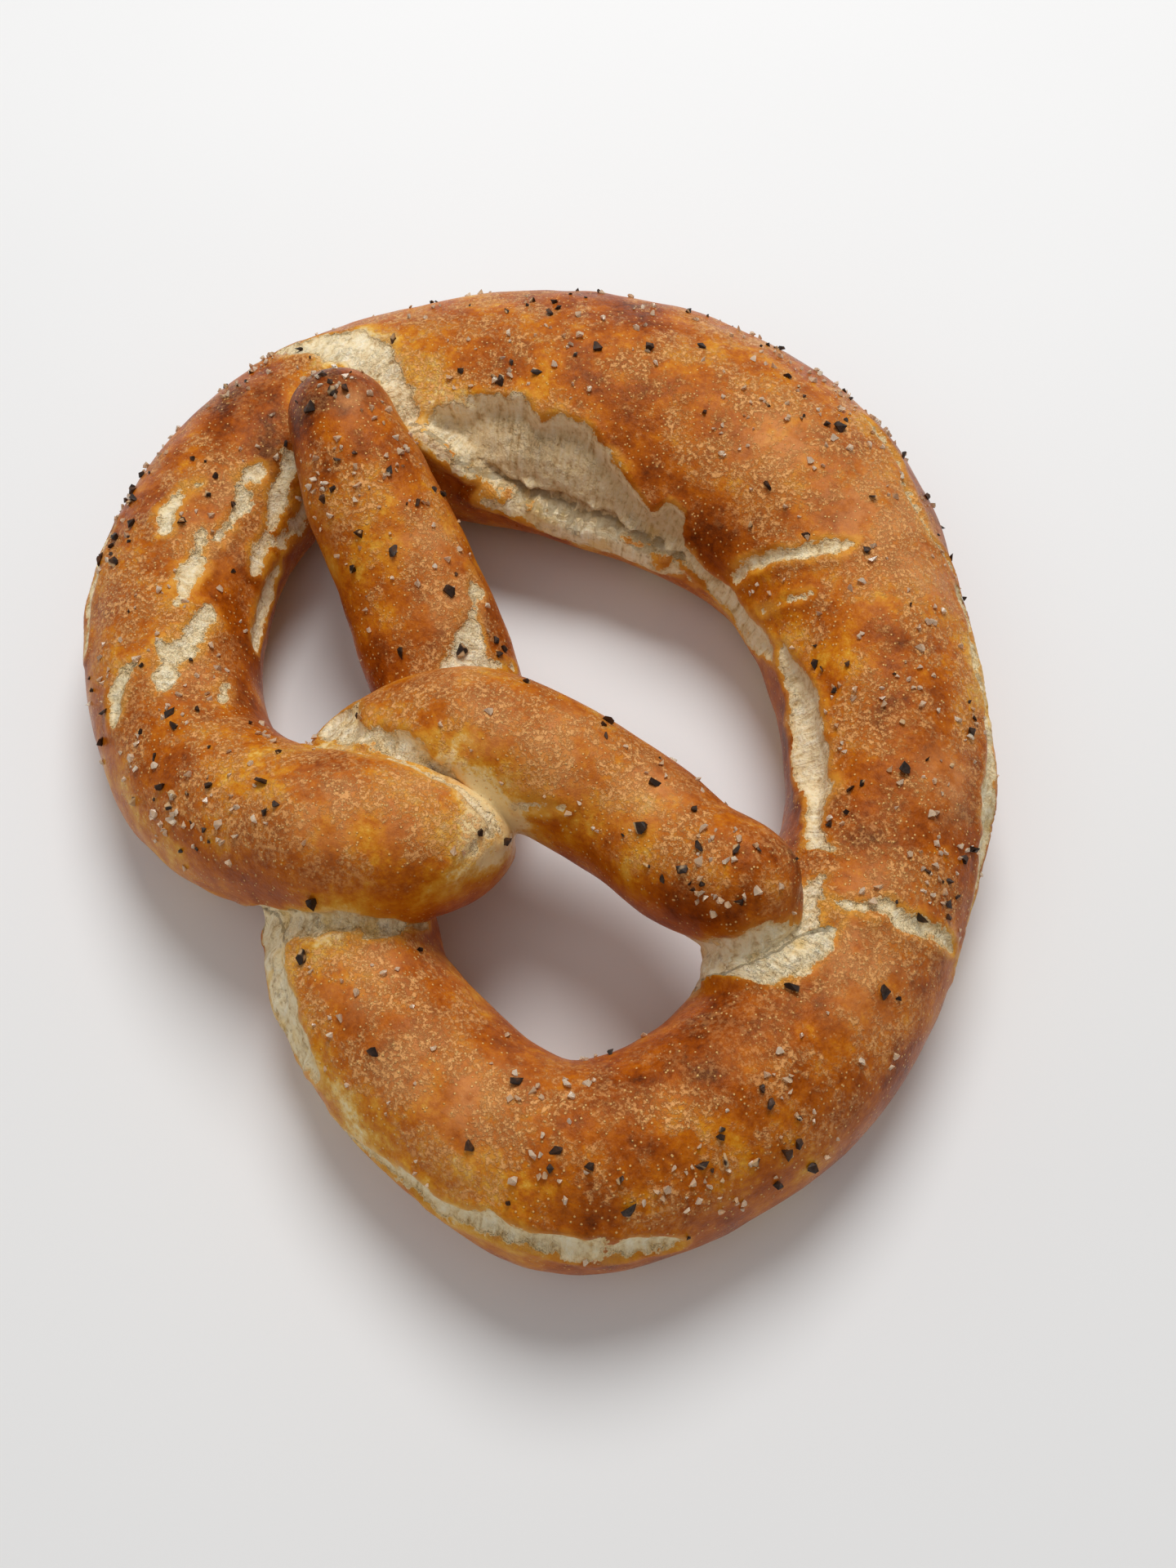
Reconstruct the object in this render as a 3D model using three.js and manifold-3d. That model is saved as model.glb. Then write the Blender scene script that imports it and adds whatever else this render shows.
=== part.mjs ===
// A soft pretzel: one rope of dough, knotted and baked into one piece, with the coarsest grains of its topping.
// Units are millimetres and +Z is up. The pretzel lies on z = 0, the origin is the middle of its base, and +Y
// runs from the knot to the thick belly.
import * as THREE from "three";
import Module from "manifold-3d";

const wasm = await Module();
wasm.setup();

// The rope's centre line, one place after another: x, y, z, then half its width and half its height there.
// The first arm starts at its knob on the left of the ring, runs down under the arch of the second and curls up.
const FIRST_ARM = [
  [-62.5, 11.5, 29, 8.5, 8],
  [-53, 5.5, 29.5, 9, 9.5],
  [-42, 0.4, 27, 11, 9.5],
  [-30.5, -4.1, 22, 11.5, 10],
  [-19, -9.6, 17, 12.5, 10.5],
  [-8, -15.5, 12, 12, 11],
  [1.5, -22, 11, 10, 11],
  [6.5, -30.5, 14, 8, 9.5],
];
// The rest goes from that curl over the knot, round the left loop, the belly and the right loop, back under the
// knot and up over the first arm to the second knob, which lies on the right of the ring.
const REST_OF_ROPE = [
  [20, -30.5, 20, 5, 8],
  [10, -42.5, 25.5, 11, 12],
  [0, -48.5, 25, 12, 12.5],
  [-13, -52.5, 19.5, 13, 13],
  [-28, -53.2, 14, 13.5, 14],
  [-41, -48, 12.5, 14, 14],
  [-51.5, -40, 12.5, 14.5, 14],
  [-62.5, -26.5, 12.5, 15, 14],
  [-69.5, -10, 12.5, 15.5, 14],
  [-70.5, 7, 12.5, 16, 13.5],
  [-64.5, 21.5, 13, 18, 14],
  [-53, 32, 14, 22, 16],
  [-36.3, 43, 16, 25, 17.5],
  [-17.5, 51.6, 16, 25.5, 18],
  [2, 54, 16, 24, 18],
  [21, 49.6, 15.5, 20.2, 17.5],
  [38, 38.4, 15, 17.2, 17],
  [52, 25.2, 14.5, 16.4, 16.5],
  [62.3, 9.6, 14, 15.8, 16],
  [68.2, -8, 13.5, 16.3, 15.5],
  [70.8, -25.5, 13.5, 16, 15.5],
  [69.3, -39.2, 13.5, 15, 15.5],
  [65.3, -51, 13.5, 14.6, 15.5],
  [57.8, -60, 13.5, 14.5, 15.5],
  [45.5, -64, 13, 13.5, 15],
  [31.5, -64, 13, 13.5, 14],
  [18.2, -61.3, 12.5, 13, 13.5],
  [8.5, -55.5, 11, 13.5, 12.5],
  [0.5, -48.5, 10, 13, 10.5],
  [-5.5, -40, 12, 12.5, 10.5],
  [-5.5, -32, 19, 11.5, 11],
  [3, -23.5, 26, 10.5, 11],
  [16.5, -19, 27.5, 10.5, 11.5],
  [30.5, -16, 26, 10.5, 11],
  [45, -16.7, 28, 10, 11],
  [52.5, -14.5, 29.5, 9.5, 10],
  [58.5, -9.5, 27.5, 8, 9],
];
// A web of dough that stuck to the second knob and the ring and was pulled out between them.
const KNOB_WEB = [
  [53, -25, 20, 4, 5],
  [56.5, -22, 20, 6, 7],
  [60.5, -17.5, 20, 7, 8],
  [64, -12, 19, 7, 9],
];
// The rope passes over itself, so it is made in stretches that meet face to face at these places on that list.
const MEET_AT = [15, 29];
const END_ROUNDING = 8.5; // length over which a free end closes to a dome
const STEP = 5; // length of rope between two sections
const SIDES = 18; // corners of a section
const DOME_STEPS = 5;
const TRAY_ALLOWANCE = 20; // how far the block that flattens the base reaches past the pretzel and below it
const DEGREE = Math.PI / 180;

// The coarsest cracked pepper and salt, each grain at a place along its rope and at its turn round it, in degrees:
// 0 is the rope's right side and 90 its top.
const PEPPER_ON_ARM = [[0.9, 85], [1, 60], [2.6, 60], [3, 40], [3, 80], [3.7, 110], [4.2, 60], [4.4, 105]];
const PEPPER_ON_REST = [
  [1.8, 165], [2.4, 90], [4, 90], [4.3, 90], [4.7, 150], [6.6, 125], [7, 85], [7, 120], [10.4, 95],
  [11.6, 70], [11.9, 75], [12.3, 90], [12.7, 95], [14.4, 110], [14.5, 65], [16.4, 45], [17.1, 130],
  [17.6, 90], [18.1, 135], [18.7, 120], [19.4, 120], [19.8, 80], [20.7, 160], [20.9, 140], [22.4, 130],
  [23, 100], [23.7, 70], [23.8, 115], [25.1, 110], [26.3, 120], [33.3, 105], [33.6, 65],
];
const SALT_ON_ARM = [[1.6, 50], [1.5, 75], [2.1, 75], [3.3, 120]];
const SALT_ON_REST = [
  [2.3, 115], [2.7, 125], [3.3, 105], [5.3, 100], [12.1, 90], [13.9, 125], [17, 100], [18.8, 95],
  [19.9, 130], [22, 125], [23.3, 120], [23, 60], [34.5, 70], [34.6, 45], [35.1, 60],
];
const GRAIN_GAP = 0.3; // between a grain and the crust
const PEPPER_SIZE = [2.9, 2.2, 1.1]; // length, width and thickness of the biggest chip of pepper
const SALT_SIZE = [1.9, 1.6, 1.4];
const SMALLEST_GRAIN = 0.75; // as a share of the biggest
const GRAIN_SPIN = 137.5 * DEGREE; // turn about the way out of the crust from each grain to the next

const CRUST = new THREE.MeshStandardMaterial({ color: "#b4702f", roughness: 0.5, metalness: 0 });
const PEPPER = new THREE.MeshStandardMaterial({ color: "#2a1c14", roughness: 0.7, metalness: 0 });
const SALT = new THREE.MeshStandardMaterial({ color: "#e6dccb", roughness: 0.3, metalness: 0 });

// The rope's own directions across it: to its right and up.
function directions(curve, t) {
  const along = curve.getTangent(t);
  const right = new THREE.Vector3(along.y, -along.x, 0).normalize();
  return { right, up: right.clone().cross(along) };
}

class Rope {
  constructor(places) {
    this.last = places.length - 1;
    const line = places.map(([x, y, z]) => new THREE.Vector3(x, y, z));
    const halves = places.map(([, , , width, height]) => new THREE.Vector3(width, height, 0));
    this.line = new THREE.CatmullRomCurve3(line, false, "centripetal");
    this.halves = new THREE.CatmullRomCurve3(halves, false, "catmullrom", 0.5);
    this.length = this.line.getLength();
  }

  // The length of rope up to a place, given as its number on the list, whole or between two.
  lengthTo(place) {
    const pieces = 2000;
    const lengths = this.line.getLengths(pieces);
    return lengths[Math.round((pieces * place) / this.last)];
  }

  // How much of its full section the rope has at a distance along it: a free end is a dome.
  fullness(distance) {
    const inwards = Math.min(distance, this.length - distance, END_ROUNDING) / END_ROUNDING;
    return Math.sqrt(1 - (1 - inwards) ** 2);
  }

  section(distance) {
    const t = this.line.getUtoTmapping(distance / this.length);
    const { right, up } = directions(this.line, t);
    const middle = this.line.getPoint(t);
    const half = this.halves.getPoint(t).multiplyScalar(this.fullness(distance));
    const rim = Array.from({ length: SIDES }, (_, i) => {
      const turn = (2 * Math.PI * i) / SIDES;
      return middle
        .clone()
        .addScaledVector(right, half.x * Math.cos(turn))
        .addScaledVector(up, half.y * Math.sin(turn));
    });
    return { middle, rim };
  }

  // The distances of the sections between two places, closer together on the domes of the free ends.
  distances(from, to) {
    const count = Math.round((to - from) / STEP);
    const between = Array.from({ length: count - 1 }, (_, i) => from + ((to - from) * (i + 1)) / count);
    const dome = Array.from({ length: DOME_STEPS }, (_, i) => {
      return END_ROUNDING * (1 - Math.cos((Math.PI / 2) * ((i + 1) / DOME_STEPS)));
    });
    const start = from === 0 ? dome : [from];
    const end = to === this.length ? dome.map((d) => to - d).reverse() : [to];
    const clear = (d) => d > start.at(-1) + STEP / 2 && d < end[0] - STEP / 2;
    return [...start, ...between.filter(clear), ...end];
  }

  // The stretch of rope between two places as a closed solid.
  stretch(fromPlace = 0, toPlace = this.last) {
    const from = fromPlace === 0 ? 0 : this.lengthTo(fromPlace);
    const to = toPlace === this.last ? this.length : this.lengthTo(toPlace);
    const sections = this.distances(from, to).map((d) => this.section(d));
    const points = sections.flatMap((s) => s.rim);
    const ends = [points.length, points.length + 1];
    points.push(from === 0 ? this.line.getPoint(0) : sections[0].middle);
    points.push(to === this.length ? this.line.getPoint(1) : sections.at(-1).middle);
    const corners = [];
    const lastRim = (sections.length - 1) * SIDES;
    for (let i = 0; i < SIDES; i++) {
      const next = (i + 1) % SIDES;
      corners.push(ends[0], i, next, ends[1], lastRim + next, lastRim + i);
      for (let rim = 0; rim < lastRim; rim += SIDES) {
        const [a, b] = [rim + i, rim + next];
        corners.push(a, a + SIDES, b + SIDES, a, b + SIDES, b);
      }
    }
    return solid(points, corners);
  }

  // A point of the crust and the way out of it there.
  crustAt(place, turn) {
    const t = place / this.last;
    const { right, up } = directions(this.line, t);
    const half = this.halves.getPoint(t);
    const [across, lift] = [Math.cos(turn * DEGREE), Math.sin(turn * DEGREE)];
    const point = this.line.getPoint(t);
    point.addScaledVector(right, half.x * across).addScaledVector(up, half.y * lift);
    const out = right.multiplyScalar(across / half.x).addScaledVector(up, lift / half.y).normalize();
    return { point, out };
  }
}

function solid(points, corners) {
  const vertProperties = new Float32Array(points.flatMap((p) => [p.x, p.y, p.z]));
  return new wasm.Manifold(new wasm.Mesh({ numProp: 3, vertProperties, triVerts: new Uint32Array(corners) }));
}

function geometryOf(made) {
  const mesh = made.getMesh();
  const geometry = new THREE.BufferGeometry();
  geometry.setAttribute("position", new THREE.BufferAttribute(mesh.vertProperties, 3));
  geometry.setIndex(new THREE.BufferAttribute(mesh.triVerts, 1));
  geometry.computeVertexNormals();
  return geometry;
}

// The block under z = 0 that the soft dough flattens against.
function tray(made) {
  const { min, max } = made.boundingBox();
  const [left, front, right, back] = [min[0], min[1], max[0], max[1]];
  const size = new THREE.Vector3(right - left, back - front, 0).addScalar(2 * TRAY_ALLOWANCE);
  const middle = new THREE.Vector3((left + right) / 2, (front + back) / 2, -size.z / 2);
  const corner = (x, y, z) => new THREE.Vector3(x, y, z).multiply(size).multiplyScalar(0.5).add(middle);
  const points = [corner(-1, -1, -1), corner(1, -1, -1), corner(1, 1, -1), corner(-1, 1, -1)];
  points.push(corner(-1, -1, 1), corner(1, -1, 1), corner(1, 1, 1), corner(-1, 1, 1));
  const faces = [[0, 3, 2, 1], [4, 5, 6, 7], [0, 1, 5, 4], [1, 2, 6, 5], [2, 3, 7, 6], [3, 0, 4, 7]];
  return solid(points, faces.flatMap(([a, b, c, d]) => [a, b, c, a, c, d]));
}

const firstArm = new Rope(FIRST_ARM);
const restOfRope = new Rope(REST_OF_ROPE);
const knobWeb = new Rope(KNOB_WEB);

// The stretches overlap where the rope crosses itself, and joining them leaves specks of no size beside the pretzel.
function bakedDough() {
  const cuts = [0, ...MEET_AT, restOfRope.last];
  const stretches = cuts.slice(1).map((to, i) => restOfRope.stretch(cuts[i], to));
  stretches.push(firstArm.stretch(), knobWeb.stretch());
  const whole = stretches.reduce((made, piece) => made.add(piece));
  const bodies = whole.subtract(tray(whole)).decompose();
  const biggest = bodies.reduce((best, body) => (body.volume() > best.volume() ? body : best));
  const mesh = new THREE.Mesh(geometryOf(biggest), CRUST);
  mesh.name = "dough";
  return mesh;
}

// One kind of grain, scattered over the places given for both ropes.
function grains(kind, shape, size, material, onArm, onRest) {
  const seats = [...onArm.map((seat) => [firstArm, ...seat]), ...onRest.map((seat) => [restOfRope, ...seat])];
  return seats.map(([rope, place, turn], i) => {
    const share = THREE.MathUtils.lerp(1, SMALLEST_GRAIN, (i % 4) / 3);
    const mesh = new THREE.Mesh(shape, material);
    mesh.name = `${kind}_${String(i + 1).padStart(2, "0")}`;
    mesh.scale.fromArray(size).multiplyScalar(share);
    const { point, out } = rope.crustAt(place, turn);
    mesh.position.copy(point).addScaledVector(out, GRAIN_GAP + mesh.scale.z / 2);
    mesh.quaternion.setFromUnitVectors(new THREE.Vector3(0, 0, 1), out);
    mesh.rotateZ(i * GRAIN_SPIN);
    return mesh;
  });
}

const pretzel = new THREE.Group();
pretzel.add(bakedDough());
const chip = new THREE.IcosahedronGeometry(0.5, 0);
const cube = new THREE.BoxGeometry(1, 1, 1);
pretzel.add(...grains("pepper", chip, PEPPER_SIZE, PEPPER, PEPPER_ON_ARM, PEPPER_ON_REST));
pretzel.add(...grains("salt", cube, SALT_SIZE, SALT, SALT_ON_ARM, SALT_ON_REST));

export default pretzel;
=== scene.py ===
"""The looks of a soft pretzel: crust that has split over pale crumb, coarse salt and cracked pepper."""

import itertools
import math

import bmesh
import bpy
import numpy as np
from mathutils import Matrix, Vector
from mathutils.bvhtree import BVHTree


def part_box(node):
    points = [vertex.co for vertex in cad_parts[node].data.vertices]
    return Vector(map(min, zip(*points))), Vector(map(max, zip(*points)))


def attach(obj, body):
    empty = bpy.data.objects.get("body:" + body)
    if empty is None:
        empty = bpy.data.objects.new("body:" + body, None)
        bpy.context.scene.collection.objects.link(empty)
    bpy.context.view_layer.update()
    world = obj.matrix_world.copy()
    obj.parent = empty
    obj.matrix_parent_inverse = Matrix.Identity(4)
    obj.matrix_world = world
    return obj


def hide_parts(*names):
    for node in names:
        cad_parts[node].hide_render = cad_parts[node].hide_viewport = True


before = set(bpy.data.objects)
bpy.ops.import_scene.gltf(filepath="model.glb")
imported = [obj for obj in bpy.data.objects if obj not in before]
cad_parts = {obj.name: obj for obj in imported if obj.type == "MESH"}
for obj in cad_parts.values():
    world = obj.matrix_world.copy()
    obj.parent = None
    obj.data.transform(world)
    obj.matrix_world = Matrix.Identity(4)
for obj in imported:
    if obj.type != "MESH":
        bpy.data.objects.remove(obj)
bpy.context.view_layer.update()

MM = 0.001

# ---------------------------------------------------------------- the rope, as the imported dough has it
# Places on the centre line, in millimetres: x, y, z, then half the rope's width and half its height there.
FIRST_ARM = [
    [-62.5, 11.5, 29, 8.5, 8],
    [-53, 5.5, 29.5, 9, 9.5],
    [-42, 0.4, 27, 11, 9.5],
    [-30.5, -4.1, 22, 11.5, 10],
    [-19, -9.6, 17, 12.5, 10.5],
    [-8, -15.5, 12, 12, 11],
    [1.5, -22, 11, 10, 11],
    [6.5, -30.5, 14, 8, 9.5],
]
REST_OF_ROPE = [
    [20, -30.5, 20, 5, 8],
    [10, -42.5, 25.5, 11, 12],
    [0, -48.5, 25, 12, 12.5],
    [-13, -52.5, 19.5, 13, 13],
    [-28, -53.2, 14, 13.5, 14],
    [-41, -48, 12.5, 14, 14],
    [-51.5, -40, 12.5, 14.5, 14],
    [-62.5, -26.5, 12.5, 15, 14],
    [-69.5, -10, 12.5, 15.5, 14],
    [-70.5, 7, 12.5, 16, 13.5],
    [-64.5, 21.5, 13, 18, 14],
    [-53, 32, 14, 22, 16],
    [-36.3, 43, 16, 25, 17.5],
    [-17.5, 51.6, 16, 25.5, 18],
    [2, 54, 16, 24, 18],
    [21, 49.6, 15.5, 20.2, 17.5],
    [38, 38.4, 15, 17.2, 17],
    [52, 25.2, 14.5, 16.4, 16.5],
    [62.3, 9.6, 14, 15.8, 16],
    [68.2, -8, 13.5, 16.3, 15.5],
    [70.8, -25.5, 13.5, 16, 15.5],
    [69.3, -39.2, 13.5, 15, 15.5],
    [65.3, -51, 13.5, 14.6, 15.5],
    [57.8, -60, 13.5, 14.5, 15.5],
    [45.5, -64, 13, 13.5, 15],
    [31.5, -64, 13, 13.5, 14],
    [18.2, -61.3, 12.5, 13, 13.5],
    [8.5, -55.5, 11, 13.5, 12.5],
    [0.5, -48.5, 10, 13, 10.5],
    [-5.5, -40, 12, 12.5, 10.5],
    [-5.5, -32, 19, 11.5, 11],
    [3, -23.5, 26, 10.5, 11],
    [16.5, -19, 27.5, 10.5, 11.5],
    [30.5, -16, 26, 10.5, 11],
    [45, -16.7, 28, 10, 11],
    [52.5, -14.5, 29.5, 9.5, 10],
    [58.5, -9.5, 27.5, 8, 9],
]
# The web of dough pulled out between the second knob and the ring is a short rope of its own.
KNOB_WEB = [
    [53, -25, 20, 4, 5],
    [56.5, -22, 20, 6, 7],
    [60.5, -17.5, 20, 7, 8],
    [64, -12, 19, 7, 9],
]
END_ROUNDING = 8.5  # length over which a free end closes to a dome
SMALLEST_RIM = 0.02  # share of that length at which the dome's last rim is taken
LENGTH_SAMPLES = 4000  # places at which a rope's length is measured
SECTION_STEP = 1.5  # millimetres of rope between sections
SECTION_SIDES = 64

# ---------------------------------------------------------------- marks of the bake, in rope places
# A place is a number on its rope's list above. A turn is in degrees, with 0 on the rope's right and 90 on its
# top. Depths, heights, widths and radii are millimetres.
ARM, REST, WEB = 0, 1, 2
# A tear is the part of a rope between two turns: its depth, then (place, low turn, high turn).
TEARS = {
    "belly": (REST, 3.4, [
        (10.72, 43, 45), (10.92, 42, 52), (11.2, 36, 60), (11.4, 27, 61), (11.53, 21, 62), (11.83, 14, 63),
        (12, 12, 57), (12.2, 10, 58), (12.4, 8, 55), (12.55, 8, 50), (12.75, 7, 44), (12.9, 7, 40),
        (13.1, 7, 35), (13.3, 7, 30), (13.5, 6, 27), (13.62, 6, 35), (13.88, 5, 34), (14.05, 4, 20),
        (14.28, 3, 14), (14.55, -2, 8), (14.7, -2, 5)]),
    "inner_right": (REST, 1.4, [
        (14.5, 2, 9), (14.9, -3, 14), (15.3, -6, 12), (15.7, -3, 17), (15.95, 8, 20), (16.05, 14, 15)]),
    "inner_right_low": (REST, 1.5, [
        (16, 24, 28), (16.3, 19, 34), (16.6, 15, 40), (17, 17, 45), (17.4, 21, 48), (17.8, 28, 50),
        (18.1, 36, 50), (18.2, 44, 46)]),
    "inner_right_patch": (REST, 0.7, [(18.22, 44, 48), (18.3, 40, 57), (18.45, 46, 66), (18.6, 54, 62)]),
    "knob_web": (REST, 0.2, [
        (18.6, 50, 56), (18.7, 30, 68), (18.85, 8, 76), (19, 0, 81), (19.33, 0, 87), (19.62, 0, 83),
        (19.85, 0, 74), (20, 4, 52), (20.1, 14, 24)]),
    "under_knot_side": (REST, 0.9, [
        (25.45, 152, 158), (25.7, 146, 176), (26.1, 137, 178), (26.6, 134, 178), (27.1, 140, 178),
        (27.5, 152, 174)]),
}
# A split is a line on a rope: its depth, then (place, turn, half width).
SPLITS = {
    "belly_crevice": (REST, 4.6, [
        (10.8, 46, 0.4), (11, 43, 0.6), (11.2, 38, 0.8), (11.38, 31, 0.9), (11.48, 25, 1.1), (11.58, 21, 1.5),
        (11.8, 16, 1.7), (12.1, 13, 1.6), (12.45, 10, 1.5), (12.9, 9, 1.4), (13.4, 8, 1.1), (13.9, 6, 0.8),
        (14.3, 6, 0.5)]),
    "belly_shelf": (REST, 0.6, [
        (11.5, 10, 0.9), (11.8, 7, 1.8), (12.2, 3, 2.2), (12.7, 1, 2.4), (13.2, 0, 2.2), (13.8, -1, 1.6),
        (14.3, -2, 1)]),
    "belly_lobe": (REST, 0, [
        (10.72, 44, 0.8), (10.88, 41, 1.7), (11.08, 36, 1.7), (11.25, 30, 1.2), (11.38, 25, 0.7)]),
    "outer_crack": (REST, 1.3, [
        (14.35, 134, 0.25), (14.7, 134, 0.7), (15.1, 127, 1), (15.4, 130, 0.9), (15.6, 148, 0.9)]),
    "outer_edge": (REST, 1, [
        (15.8, 150, 1), (16.2, 152, 2.4), (16.6, 150, 2.6), (17, 156, 3), (17.4, 154, 3.2), (17.8, 164, 4.5),
        (18.2, 172, 3), (18.7, 176, 2)]),
    "cross_belly": (REST, 0.9, [
        (15, 24, 1.4), (15.15, 42, 1), (15.3, 56, 0.9), (15.38, 70, 1.1), (15.42, 82, 0.5)]),
    "cross_belly_low": (REST, 0.5, [(15.6, 24, 0.9), (15.7, 42, 0.5), (15.75, 54, 0.35)]),
    "beside_second_knob": (REST, 0.4, [
        (18.74, 66, 1), (18.9, 62, 2.2), (19.1, 60, 3), (19.3, 62, 3.2), (19.5, 60, 2.4)]),
    "cross_knob": (REST, 0.9, [
        (18.95, 74, 0.6), (18.85, 92, 1), (18.75, 102, 0.7), (18.8, 112, 1), (18.7, 130, 1),
        (18.7, 150, 0.7)]),
    "left_top": (REST, 0.35, [(6.95, 93, 1.2), (7.15, 97, 1.5), (7.4, 93, 0.8), (7.5, 86, 0.5)]),
    "left_top_link": (REST, 0.3, [
        (7, 60, 0.5), (7.25, 57, 1), (7.5, 55, 1.2), (7.7, 64, 0.8), (8, 58, 0.9)]),
    "left_middle": (REST, 0.35, [(6.05, 76, 1), (6.3, 73, 1.1), (6.6, 70, 1.4), (6.95, 71, 0.8)]),
    "left_patch": (REST, 0.45, [
        (4.75, 88, 0.8), (5, 82, 1.2), (5.3, 76, 1.5), (5.6, 67, 2.3), (5.85, 61, 2.3), (6.05, 56, 1.1)]),
    "left_net": (REST, 0.4, [(6.9, 30, 1), (7.3, 31, 1.3), (7.7, 36, 1.1), (8.1, 43, 1.6), (8.4, 50, 1.3)]),
    "left_net_side": (REST, 0.4, [(7.3, 31, 1), (7.5, 18, 1.6), (7.9, 14, 1.8), (8.3, 22, 2)]),
    "left_inner": (REST, 0.4, [(5.9, 15, 1), (6.3, 12, 1.7), (6.7, 10, 1.9), (7.1, 12, 1.2)]),
    "left_low": (REST, 0.3, [(4.65, 130, 0.6), (4.9, 122, 1.2), (5.2, 108, 0.8)]),
    "left_dash": (REST, 0.3, [(4.3, 56, 0.5), (4.75, 47, 0.6)]),
    "left_outer": (REST, 0.4, [(5.9, 152, 1), (6.5, 150, 1.6), (7.1, 152, 0.9)]),
    "behind_first_knob": (REST, 0.5, [
        (9.15, 146, 1), (9.35, 128, 2.2), (9.6, 114, 3.6), (9.85, 100, 4.6), (10.1, 90, 4.4),
        (10.35, 76, 2.6), (10.55, 60, 1.6), (10.7, 50, 1.4)]),
    "knot_side": (REST, 1.2, [
        (29.85, 136, 3), (30.2, 95, 2.5), (30.5, 68, 2.5), (30.85, 45, 2.6), (31.2, 24, 2.2),
        (31.5, 8, 1.6)]),
    "knot_rim": (REST, 0.4, [
        (2.5, 24, 0.7), (2, 28, 1), (1.5, 34, 1.1), (1.1, 42, 1.1), (0.75, 54, 0.9), (0.5, 84, 0.9),
        (0.32, 106, 0.7)]),
    "knot_tip": (REST, 0.4, [(0.74, 138, 0.4), (0.64, 126, 0.7), (0.54, 114, 0.6), (0.44, 100, 0.4)]),
    "arch_crack": (REST, 0.5, [(32.05, 22, 0.6), (32.2, 32, 0.9), (32.5, 42, 0.6)]),
    "under_knot": (REST, 0.9, [
        (27.5, 172, 3), (27.1, 140, 3), (26.75, 118, 2.6), (26.5, 90, 2), (26.4, 62, 1.4), (26.5, 30, 1)]),
    "arm_streak": (ARM, 0.5, [(4.55, 96, 2), (4.3, 114, 2.4), (3.9, 128, 1.2), (3.5, 136, 0.7)]),
    "arm_streak_low": (ARM, 0.5, [(4.55, 90, 1.2), (4.65, 120, 1.2), (4.75, 146, 0.8)]),
    "under_second_knob": (REST, 0.3, [
        (34.7, -14, 1.2), (34.95, -6, 2.4), (35.3, 2, 3), (35.7, 14, 3), (35.95, 30, 2)]),
    "bottom_outer": (REST, 1, [
        (25, 178, 1), (24.6, 172, 1.4), (24.2, 164, 1.2), (23.7, 158, 1.6), (23.3, 152, 2), (22.9, 150, 1.6),
        (22.5, 156, 1.8), (22.1, 162, 1.2)]),
}
# Tears and splits whose crumb is open and full of pores.
PORED = (
    "belly_crevice", "belly_shelf", "knot_side", "knob_web", "under_knot", "under_knot_side", "outer_edge")
# A roll stands out of the crust along a line: its height, then (place, turn, half width).
ROLLS = [
    (REST, 2.6, [(10.7, 42, 1.6), (10.95, 38, 2.8), (11.18, 32, 2.6), (11.36, 24, 1.6)]),
    (REST, 1.7, [(19, 70, 3), (19.35, 68, 4.5), (19.7, 56, 4.5), (19.98, 34, 3)]),
    (REST, 1.5, [(11.3, 10, 1.4), (11.8, 4, 2.2), (12.4, 0, 2.4), (13.1, -2, 2), (13.9, -3, 1.2)]),
]
# A tone bakes the crust round a spot darker, or paler below zero: (rope, place, turn, radius, amount).
TONES = [
    (ARM, 0.6, 80, 11, 0.36), (ARM, 1.5, 70, 10, 0.06), (REST, 13, 60, 10, 0.04),
    (REST, 12.7, 78, 8, -0.1), (REST, 24.7, 66, 11, -0.06), (REST, 25.4, 48, 9, -0.04),
    (REST, 23.8, 50, 9, 0.04), (REST, 22.1, 50, 10, 0.14), (REST, 20.7, 60, 12, 0.3),
    (REST, 34.9, 70, 9, 0.02), (REST, 34.6, 30, 8, 0.04), (REST, 5.9, 32, 8, 0.12),
    (REST, 4.6, 34, 8, 0.15), (REST, 6.8, 44, 6, 0.09), (REST, 7.4, 124, 10, 0.11),
    (REST, 1.9, 74, 9, 0.15), (REST, 8.5, 98, 9, 0.16), (REST, 15.1, 154, 9, 0.31),
    (ARM, 3.7, 150, 9, 0.14), (REST, 33.4, 134, 10, 0.16), (REST, 32, 96, 9, 0.09),
    (REST, 15.3, 38, 6, 0.04), (REST, 14.4, 34, 6, 0.04), (REST, 17.2, 6, 9, 0.12),
    (REST, 10, 92, 11, -0.4), (REST, 10.6, 52, 7, -0.5), (REST, 26.3, 90, 8, -0.4),
    (REST, 26.3, 140, 9, -0.36), (REST, 0.5, 140, 8, -0.34), (REST, 0.4, 110, 6, -0.3),
    (REST, 3.5, 166, 9, -0.24), (REST, 4.2, 156, 8, -0.22), (REST, 23.4, 164, 10, -0.3),
    (REST, 24.4, 172, 9, -0.3), (REST, 31.8, 20, 8, -0.26), (REST, 25.2, 156, 9, -0.26),
    (REST, 16.5, 160, 10, -0.2), (REST, 35.5, 40, 6, -0.2), (REST, 19.9, 40, 9, -0.3),
    (REST, 31.2, 40, 7, -0.2), (REST, 33, 70, 9, -0.12), (ARM, 2.8, 70, 10, -0.12),
    (REST, 2.6, 92, 8, -0.12), (REST, 6.6, 112, 13, 0.12), (REST, 4.3, 108, 10, 0.12),
    (REST, 16.9, 96, 12, 0.1), (REST, 11.4, 100, 12, 0.08),
]
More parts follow.
